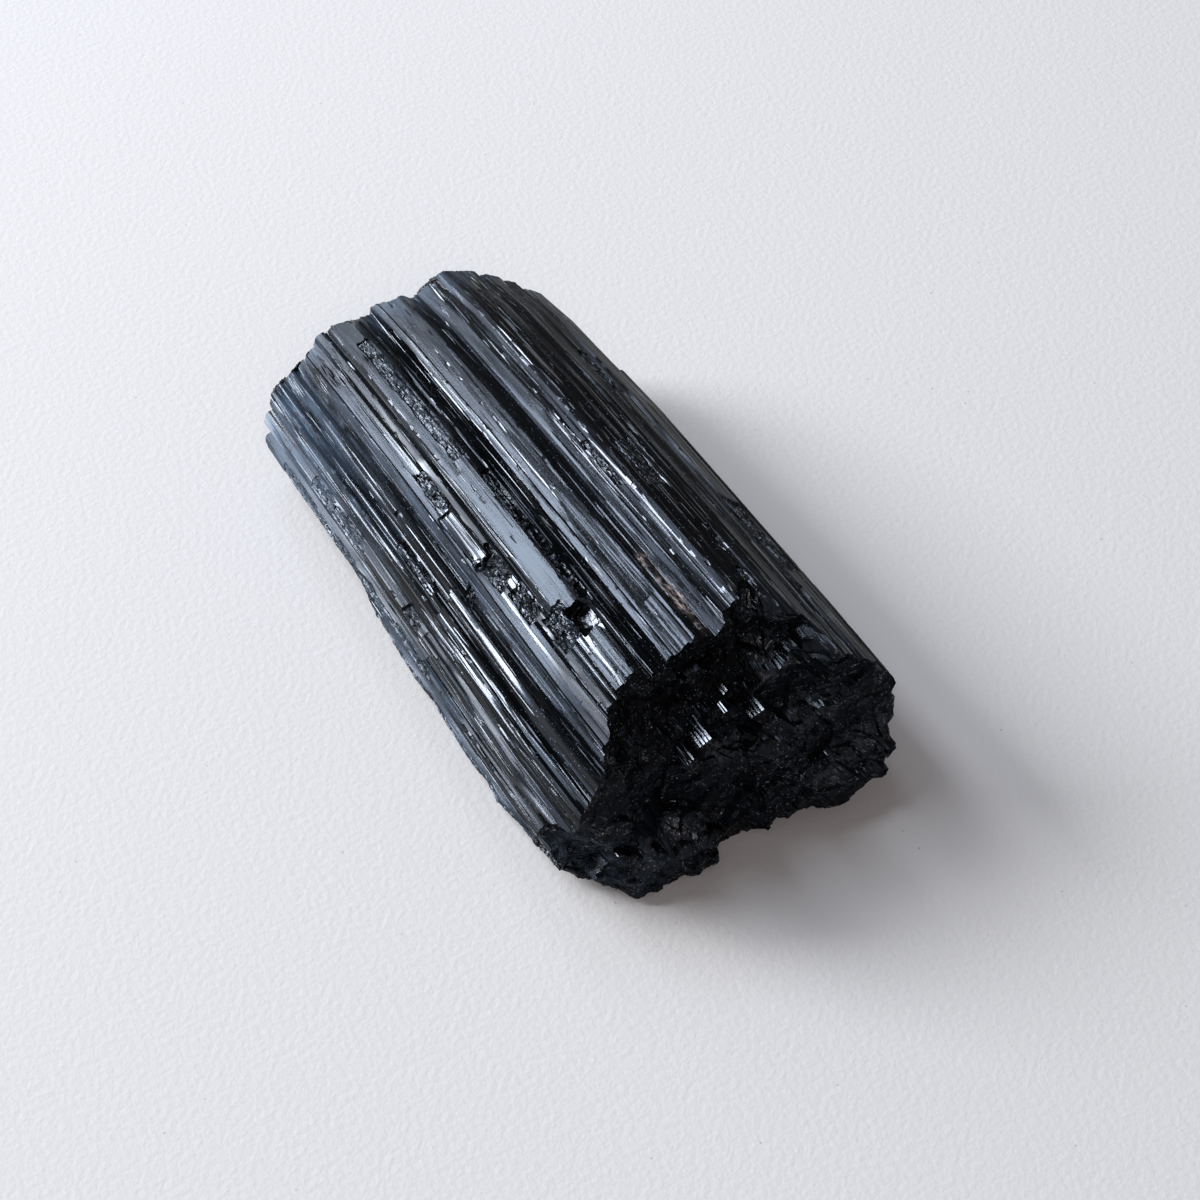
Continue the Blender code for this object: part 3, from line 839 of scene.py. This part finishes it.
def stretched_noise(tree, place, run, pitch, detail=2.0):
    """Noise that runs along X: one run long and one pitch wide, in mm."""
    where = stretched(tree, place, run, pitch)
    return add(tree, "TexNoise", {"Vector": where, "Scale": 1.0, "Detail": detail})["Fac"]


def untapered_place(tree):
    """A place on the crystal in mm, with the way that the bundle flares along X taken out, so that
    lines that keep their place across and up follow its columns."""
    place = add(tree, "TexCoord")["Object"]
    place = add(tree, "VectorMath", {0: place, "Scale": 1 / MM}, operation="SCALE")[0]
    along, across, up = add(tree, "SeparateXYZ", [place])
    places, lefts, rights, heights = STATIONS.T
    slope, width = np.polyfit(places, (lefts + rights) / 2.0, 1)
    width = add(tree, "Math", [along, slope, width], operation="MULTIPLY_ADD")[0]
    slope, height = np.polyfit(places, heights, 1)
    height = add(tree, "Math", [along, slope, height], operation="MULTIPLY_ADD")[0]
    across = add(tree, "Math", [across, width], operation="DIVIDE")[0]
    up = add(tree, "Math", [up, height], operation="DIVIDE")[0]
    return add(tree, "CombineXYZ", [along, across, up])[0]


def facetted(tree, normal, place, run, pitch, lean, amount):
    """The way a surface faces, leaned at random for each cell one run long and one pitch wide, as
    far as the amount lets it in each direction: flat facets too small for the mesh."""
    cells = add(tree, "TexVoronoi", {"Vector": stretched(tree, place, run, pitch), "Scale": 1.0})
    turn = add(tree, "VectorMath", [cells["Color"], (0.5, 0.5, 0.5)], operation="SUBTRACT")[0]
    turn = add(tree, "VectorMath", [turn, lean], operation="MULTIPLY")[0]
    turn = add(tree, "VectorMath", {0: turn, "Scale": amount}, operation="SCALE")[0]
    total = add(tree, "VectorMath", [normal, turn], operation="ADD")[0]
    return add(tree, "VectorMath", [total], operation="NORMALIZE")[0]


def stripped(tree, normal, facing, place, amount):
    """The way a surface faces, and where it is turned: here and there a thin strip leans 20 to 45
    degrees to one side, as the narrow faces of a tourmaline prism do. The steep sides have the most
    strips that lean to the right."""
    strips = add(tree, "TexVoronoi", {"Vector": stretched(tree, place, *STRIP_SIZE), "Scale": 1.0})
    chance, far, _ = add(tree, "SeparateColor", [strips["Color"]])
    lefts = add(tree, "MapRange", [facing[1], 0.0, 0.3, 0.05, 0.12])[0]
    lefts = add(tree, "Math", [amount, lefts], operation="MULTIPLY")[0]
    rights = add(tree, "MapRange", [facing[2], 0.4, 0.7, 0.30, 0.10])[0]
    rights = add(tree, "Math", [amount, rights], operation="MULTIPLY")[0]
    above = add(tree, "Math", [1.0, rights], operation="SUBTRACT")[0]
    to_left = add(tree, "Math", [chance, lefts], operation="LESS_THAN")[0]
    to_right = add(tree, "Math", [chance, above], operation="GREATER_THAN")[0]
    side = add(tree, "Math", [to_left, to_right], operation="SUBTRACT")[0]
    lean = add(tree, "Math", [far, 0.7, 0.35], operation="MULTIPLY_ADD")[0]
    turn = add(tree, "Math", [side, lean], operation="MULTIPLY")[0]
    sideways = add(tree, "VectorMath", [(1.0, 0.0, 0.0), normal], operation="CROSS_PRODUCT")[0]
    turned = add(tree, "VectorMath", {0: sideways, "Scale": turn}, operation="SCALE")[0]
    total = add(tree, "VectorMath", [normal, turned], operation="ADD")[0]
    normal = add(tree, "VectorMath", [total], operation="NORMALIZE")[0]
    return normal, add(tree, "Math", [to_left, to_right], operation="ADD")[0]


def torn_share(tree, facing, torn, broken):
    """Where schorl shows a granular break: in the torn patches, and where an end is cut across its
    columns, whose sides stay glassy."""
    cut = add(tree, "Math", [facing[0]], operation="ABSOLUTE")[0]
    cut = add(tree, "MapRange", [cut, 0.25, 0.6])[0]
    cut = add(tree, "Math", [broken, cut], operation="MULTIPLY")[0]
    return add(tree, "Math", [torn, cut], operation="MAXIMUM")[0]


def fine_relief(tree, place, normal, facing, torn):
    """The way schorl faces, with all that is finer than the mesh, and where its narrow strips are:
    growth lines, crowded in some stretches and missing in others, the facets of a break, and over
    both hairlines and the tooth of worn faces."""
    grown = add(tree, "Math", [1.0, torn], operation="SUBTRACT")[0]
    crowded = add(tree, "MapRange", [stretched_noise(tree, place, 9.0, 0.9), 0.38, 0.62, 0.05, 1.0])[0]
    lined = add(tree, "Math", [grown, crowded], operation="MULTIPLY")[0]
    normal, strip = stripped(tree, normal, facing, place, lined)
    for facets, ways, share in ((GROWN_FACETS, SIDEWAYS, lined), (BREAK_FACETS, ALL_WAYS, torn)):
        for run, pitch, lean in facets:
            amount = add(tree, "Math", [share, lean], operation="MULTIPLY")[0]
            normal = facetted(tree, normal, place, run, pitch, ways, amount)
    hairs = stretched_noise(tree, place, HAIR_RUN, TOOTH)
    hairs = add(tree, "Math", [hairs, lined], operation="MULTIPLY")[0]
    grain = add(tree, "TexNoise", {"Vector": place, "Scale": 1 / TOOTH, "Detail": 3.0})["Fac"]
    strength = add(tree, "Math", [torn, 0.6, 0.4], operation="MULTIPLY_ADD")[0]
    height = add(tree, "Math", [grain, strength, hairs], operation="MULTIPLY_ADD")[0]
    bump = {"Height": height, "Strength": 1.0, "Distance": TOOTH_HEIGHT * MM, "Normal": normal}
    return add(tree, "Bump", bump)[0], strip


def polish(tree, place, strip, torn, rubbed):
    """The roughness of schorl: clean and dull stretches of the grown faces, the rubbed places, which
    leave the narrow strips cleaner, and the breaks."""
    smooth = add(tree, "MapRange", [stretched_noise(tree, place, 5.0, 0.2, 4.0), 0.35, 0.70, 0.09, 0.20])[0]
    kept = add(tree, "Math", [strip, -0.7, 1.0], operation="MULTIPLY_ADD")[0]
    worn = add(tree, "Math", [rubbed, kept], operation="MULTIPLY")[0]
    smooth = add(tree, "Math", [worn, 0.28, smooth], operation="MULTIPLY_ADD")[0]
    return add(tree, "Mix", {0: torn, 2: smooth, 3: 0.30})[0]


def gloss(tree, facing, strip, etched_and_shade):
    """The specular level of schorl. Etched places are finely pitted and return less light, and so does
    the hollow of the broken end, as painted shade. The faces that lean to the steep side get a lower
    level as painted shade of the shaded floor and columns that they mirror, and those that look down
    get a lower level too. The narrow strips on them are clean."""
    # Painted shade: a lower reflection on the faces that lean to the steep side.
    steep_painted_shade = add(tree, "MapRange", [facing[1], 0.05, 0.32, 0.0, 0.92])[0]
    low = add(tree, "MapRange", [facing[2], 0.35, 0.70, 0.98, 0.0])[0]
    dim = add(tree, "Math", [steep_painted_shade, low], operation="MAXIMUM")[0]
    dim = add(tree, "Math", [etched_and_shade, dim], operation="MAXIMUM")[0]
    clean = add(tree, "Math", [strip, -0.9, 1.0], operation="MULTIPLY_ADD")[0]
    dim = add(tree, "Math", [dim, clean], operation="MULTIPLY")[0]
    return add(tree, "Math", [dim, -0.48, 0.5], operation="MULTIPLY_ADD")[0]


def dust_and_painted_sheen(tree, place, dust):
    """The colour of dusty schorl, and how much of it the dust hides: specks, thick in the dusty
    places and fewer elsewhere, a few of them brown, and a mottled film, white where it is thickest.
    The blue-grey of specks and film is partly a painted reflection of the cool light, and their white
    partly a painted highlight."""
    specks = add(tree, "TexVoronoi", {"Vector": place, "Scale": 1 / SPECK_GAP})
    chance, kind, size = add(tree, "SeparateColor", [specks["Color"]])
    most = add(tree, "Math", [dust, 0.5, 0.2], operation="MULTIPLY_ADD")[0]
    chosen = add(tree, "Math", [chance, most], operation="LESS_THAN")[0]
    smallest, largest = SPECK_RADII
    radius = add(tree, "Math", [size, largest - smallest, smallest], operation="MULTIPLY_ADD")[0]
    inside = add(tree, "Math", [specks["Distance"], radius], operation="LESS_THAN")[0]
    speck = add(tree, "Math", [chosen, inside], operation="MULTIPLY")[0]
    speck = add(tree, "Math", [speck, 0.8], operation="MULTIPLY")[0]

    thick = add(tree, "MapRange", [dust, 0.75, 0.95])[0]
    least = add(tree, "Math", [thick, 0.6], operation="MULTIPLY")[0]
    film = stretched_noise(tree, place, 4.0, 0.6, 7.0)
    film = add(tree, "Math", [dust, 0.3, film], operation="MULTIPLY_ADD")[0]
    film = add(tree, "MapRange", [film, 0.42, 0.92])[0]
    film = add(tree, "Math", [least, film], operation="MAXIMUM")[0]
    film = add(tree, "Math", [film, dust], operation="MULTIPLY")[0]
    veil = add(tree, "Math", [speck, film], operation="MAXIMUM")[0]

    brown = add(tree, "MapRange", [kind, 0.95, 0.96])[0]
    # Blue-grey and near-white dust: part dust, part painted reflection and highlight.
    pale = {0: thick, 6: linear("#758aa1"), 7: linear("#c6d3df")}
    dust_and_sheen_colour = {0: brown, 6: add(tree, "Mix", pale, data_type="RGBA")[2], 7: linear("#7b5c4d")}
    colour = {0: veil, 6: linear("#090a0c"), 7: add(tree, "Mix", dust_and_sheen_colour, data_type="RGBA")[2]}
    return add(tree, "Mix", colour, data_type="RGBA")[2], veil


def crusted(tree, place, crust, colour):
    """The colour with the pale crust over it, where there is any, mottled about 0.3 mm fine."""
    mottle = add(tree, "MapRange", [stretched_noise(tree, place, 0.45, 0.25, 4.0), 0.42, 0.60])[0]
    stain = {0: mottle, 6: linear("#2c2726"), 7: linear("#b5a7a3")}
    colour = {0: crust, 6: colour, 7: add(tree, "Mix", stain, data_type="RGBA")[2]}
    return add(tree, "Mix", colour, data_type="RGBA")[2]


def schorl():
    """Black tourmaline, as grown and as broken: glassy and nearly opaque, so the eye gets black
    with clear reflections on the grown faces, and a duller, sparkling black on the breaks."""
    material, tree, shader = new_material("schorl_grown_and_broken")
    place = untapered_place(tree)
    normal = add(tree, "NewGeometry")["Normal"]
    facing = add(tree, "SeparateXYZ", [normal])
    torn, broken, rubbed, etched_and_shade, crust, dust = (
        add(tree, "Attribute", attribute_name=name)["Fac"] for name in COVERS
    )
    torn = torn_share(tree, facing, torn, broken)
    relief, strip = fine_relief(tree, place, normal, facing, torn)
    colour, veil = dust_and_painted_sheen(tree, place, dust)
    veil = add(tree, "Math", [veil, crust], operation="MAXIMUM")[0]
    rough = add(tree, "Mix", {0: veil, 2: polish(tree, place, strip, torn, rubbed), 3: 0.8})[0]
    tree.links.new(crusted(tree, place, crust, colour), shader.inputs["Base Color"])
    tree.links.new(rough, shader.inputs["Roughness"])
    tree.links.new(gloss(tree, facing, strip, etched_and_shade), shader.inputs["Specular IOR Level"])
    tree.links.new(relief, shader.inputs["Normal"])
    shader.inputs["IOR"].default_value = 1.64
    # A bluish tint on the reflections: painted colour of the cool light.
    shader.inputs["Specular Tint"].default_value = linear("#e1ecfa")
    return material


def card():
    """Uncoated white card: matt, with a faint tooth and a few grey fibres in it, so it shows light
    and soft shadow and little else."""
    material, tree, shader = new_material("uncoated_white_card")
    place = add(tree, "TexCoord")["Object"]
    fibres = add(tree, "TexVoronoi", {"Vector": place, "Scale": 1 / (0.9 * MM)})
    chance = add(tree, "SeparateColor", [fibres["Color"]])[0]
    chosen = add(tree, "MapRange", [chance, 0.93, 1.0])[0]
    near = add(tree, "MapRange", [fibres["Distance"], 0.05, 0.13, 0.5, 0.0])[0]
    grey = add(tree, "Math", [chosen, near], operation="MULTIPLY")[0]
    colour = {0: grey, 6: linear("#dedddb"), 7: linear("#6d6b6a")}
    colour = add(tree, "Mix", colour, data_type="RGBA")[2]
    tree.links.new(colour, shader.inputs["Base Color"])
    tooth = add(tree, "TexNoise", {"Vector": place, "Scale": 1 / (0.5 * MM), "Detail": 5.0})["Fac"]
    bump = add(tree, "Bump", {"Height": tooth, "Strength": 0.45, "Distance": 0.1 * MM})[0]
    tree.links.new(bump, shader.inputs["Normal"])
    shader.inputs["Roughness"].default_value = 0.95
    shader.inputs["Specular IOR Level"].default_value = 0.15
    return material


# ---- Stage ----


def floor():
    """A flat square of card under the crystal."""
    half = FLOOR_SIDE / 2.0
    points = np.array([(-half, -half, 0.0), (half, -half, 0.0), (half, half, 0.0), (-half, half, 0.0)])
    mesh = mesh_from("floor", points, np.array([[0, 1, 2, 3]]), np.empty((0, 3), int), {})
    mesh.materials.append(card())
    obj = bpy.data.objects.new("floor", mesh)
    bpy.context.scene.collection.objects.link(obj)


def soft_light(name, direction, distance, width, height, radiance, colour):
    """A rectangular soft light that faces the crystal from this direction."""
    data = bpy.data.lights.new(name, "AREA")
    data.shape = "RECTANGLE"
    data.size = width
    data.size_y = height
    data.energy = radiance * np.pi * width * height
    data.color = linear(colour)[:3]
    obj = bpy.data.objects.new(name, data)
    bpy.context.scene.collection.objects.link(obj)
    out = Vector(direction).normalized()
    obj.location = TARGET + out * distance
    obj.rotation_mode = "QUATERNION"
    side = Vector((1.0, 0.0, 0.0))
    side = (side - out * side.dot(out)).normalized()
    obj.rotation_quaternion = Matrix((side, out.cross(side), out)).transposed().to_quaternion()
    obj.visible_camera = False


def camera():
    """A long lens that looks down on the crystal, over its broken end."""
    data = bpy.data.cameras.new("camera")
    data.lens = LENS
    data.sensor_width = 36.0
    data.clip_start = 0.01
    obj = bpy.data.objects.new("camera", data)
    bpy.context.scene.collection.objects.link(obj)
    turn = np.radians(CAMERA_AZIMUTH)
    rise = np.radians(CAMERA_ELEVATION)
    back = Vector((np.sin(turn) * np.cos(rise), -np.cos(turn) * np.cos(rise), np.sin(rise)))
    obj.location = TARGET + back * CAMERA_DISTANCE
    obj.rotation_mode = "QUATERNION"
    obj.rotation_quaternion = back.to_track_quat("Z", "Y")
    bpy.context.scene.camera = obj


def room(colour, strength):
    """Even light of one colour from all around."""
    world = bpy.data.worlds.new("room")
    world.use_nodes = True
    shade = world.node_tree.nodes["Background"]
    shade.inputs["Color"].default_value = linear(colour)
    shade.inputs["Strength"].default_value = strength
    bpy.context.scene.world = world


camera()
floor()
for light, settings in LIGHTS.items():
    soft_light(light, *settings)
room(ROOM_COLOUR, ROOM_STRENGTH)
bpy.context.scene.view_settings.view_transform = "Standard"

tourmaline = crystal()
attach(tourmaline, "root")
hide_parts(NODE)
